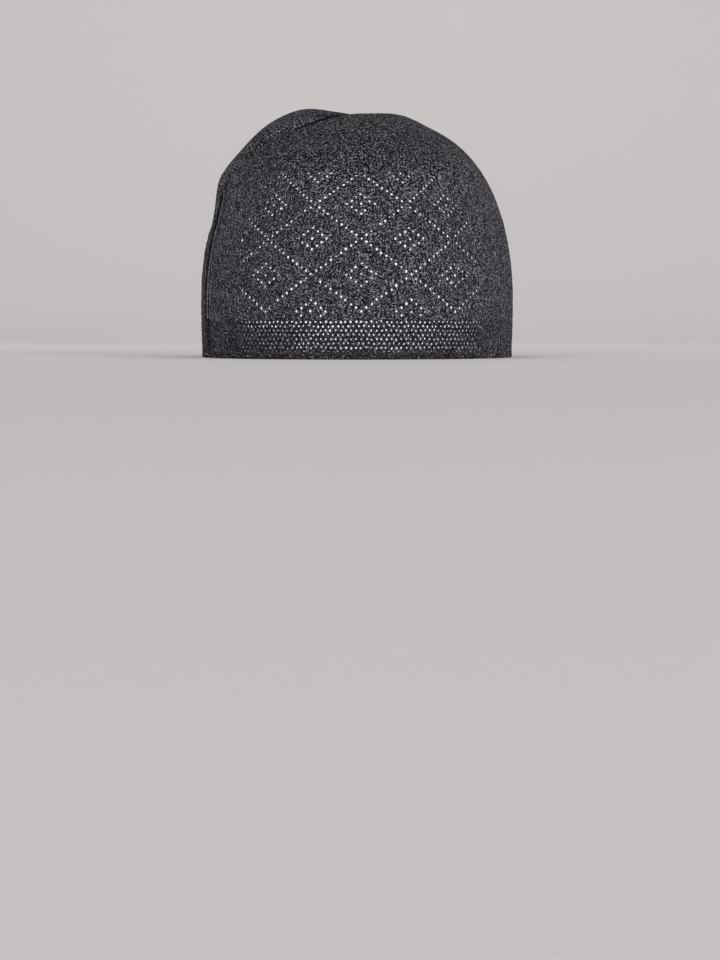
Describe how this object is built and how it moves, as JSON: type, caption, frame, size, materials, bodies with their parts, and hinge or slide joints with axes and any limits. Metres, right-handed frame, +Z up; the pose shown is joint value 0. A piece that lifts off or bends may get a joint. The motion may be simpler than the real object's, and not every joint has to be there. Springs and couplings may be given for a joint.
{
  "type": "knitted prayer cap",
  "caption": "Close-fitting knitted prayer cap with a diamond lattice of eyelets round its sides, a netted band, a turned hem and one seam over its soft crown.",
  "frame": {"origin": "middle of the rim, on the surface that the cap rests on", "axes": "+Z up through the crown; -Y to the front of the cap, +Y to its back; -X is the side of the seam's folded end, on the left of the picture"},
  "size_m": [0.158, 0.1959, 0.1252],
  "materials": {
    "crown_knit": "fine heathered charcoal knit with lattice eyelets, matt",
    "band_knit": "netted charcoal knit in a staggered grid of small eyelets, matt",
    "hem_knit": "turned double knit edge, stitched, matt"
  },
  "bodies": {
    "root": {"crown": "crown_knit", "eyelet_band": "band_knit", "rim_hem": "hem_knit"}
  },
  "joints": []
}
